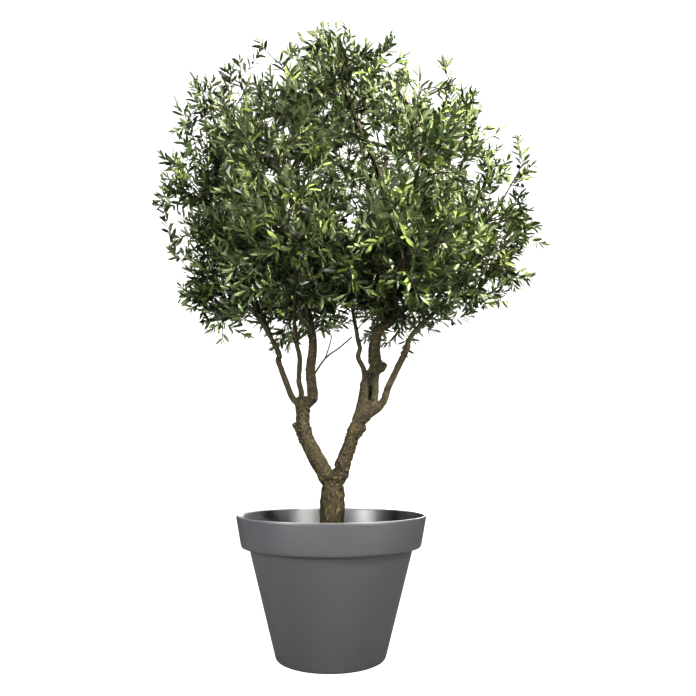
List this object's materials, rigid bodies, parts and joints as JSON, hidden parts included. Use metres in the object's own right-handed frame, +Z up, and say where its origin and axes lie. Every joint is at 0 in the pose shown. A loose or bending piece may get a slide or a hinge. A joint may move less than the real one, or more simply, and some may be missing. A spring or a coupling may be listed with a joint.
{
  "type": "potted olive tree",
  "caption": "Olive tree grown in a round banded planter: a short trunk forks low into two main boughs that carry a full, rounded, airy crown of narrow leaves.",
  "frame": {"origin": "centre of the planter's flat underside", "axes": "+Z up along the planter's axis; +X to the right and +Y away from the viewer when the low fork of the trunk is seen as a V"},
  "size_m": [1.3745, 1.0739, 2.0803],
  "materials": {
    "planter": "dark grey moulded plastic, satin, with a wide plain band under the rim",
    "soil": "dark moist potting soil, crumbly and matt",
    "bark": "olive-brown bark with fine fissures, knots and grey-green flecks",
    "foliage": "narrow leathery leaves, deep green above and grey-green beneath, on green-brown twigs with a few dark olives"
  },
  "bodies": {
    "root": {"planter": "planter", "soil": "soil", "trunk": "bark", "left_main_bough": "bark", "right_main_bough": "bark", "left_outer_limb": "bark", "left_front_limb": "bark", "left_leader": "bark", "right_outer_limb": "bark", "right_leader": "bark", "link_limb": "bark", "right_inner_limb": "bark", "bare_spur": "bark", "left_mid_limb": "bark", "left_high_limb": "bark", "back_left_low_limb": "bark", "back_left_limb": "bark", "front_left_limb": "bark", "right_mid_limb": "bark", "right_high_limb": "bark", "top_right_limb": "bark", "front_right_low_limb": "bark", "front_right_limb": "bark", "front_high_limb": "bark", "back_right_low_limb": "bark", "back_right_limb": "bark", "back_high_limb": "bark", "foliage_left_low": "foliage", "foliage_front_left_low": "foliage", "foliage_front_right_low": "foliage", "foliage_right_low": "foliage", "foliage_back_right_low": "foliage", "foliage_back_left_low": "foliage", "foliage_low_centre": "foliage", "foliage_left_mid": "foliage", "foliage_front_left": "foliage", "foliage_front_right": "foliage", "foliage_right_mid": "foliage", "foliage_back_right": "foliage", "foliage_back_left": "foliage", "foliage_left_high": "foliage", "foliage_front_high": "foliage", "foliage_right_high": "foliage", "foliage_back_high": "foliage", "foliage_top_left": "foliage", "foliage_top_right": "foliage", "foliage_top_centre": "foliage"}
  },
  "joints": []
}
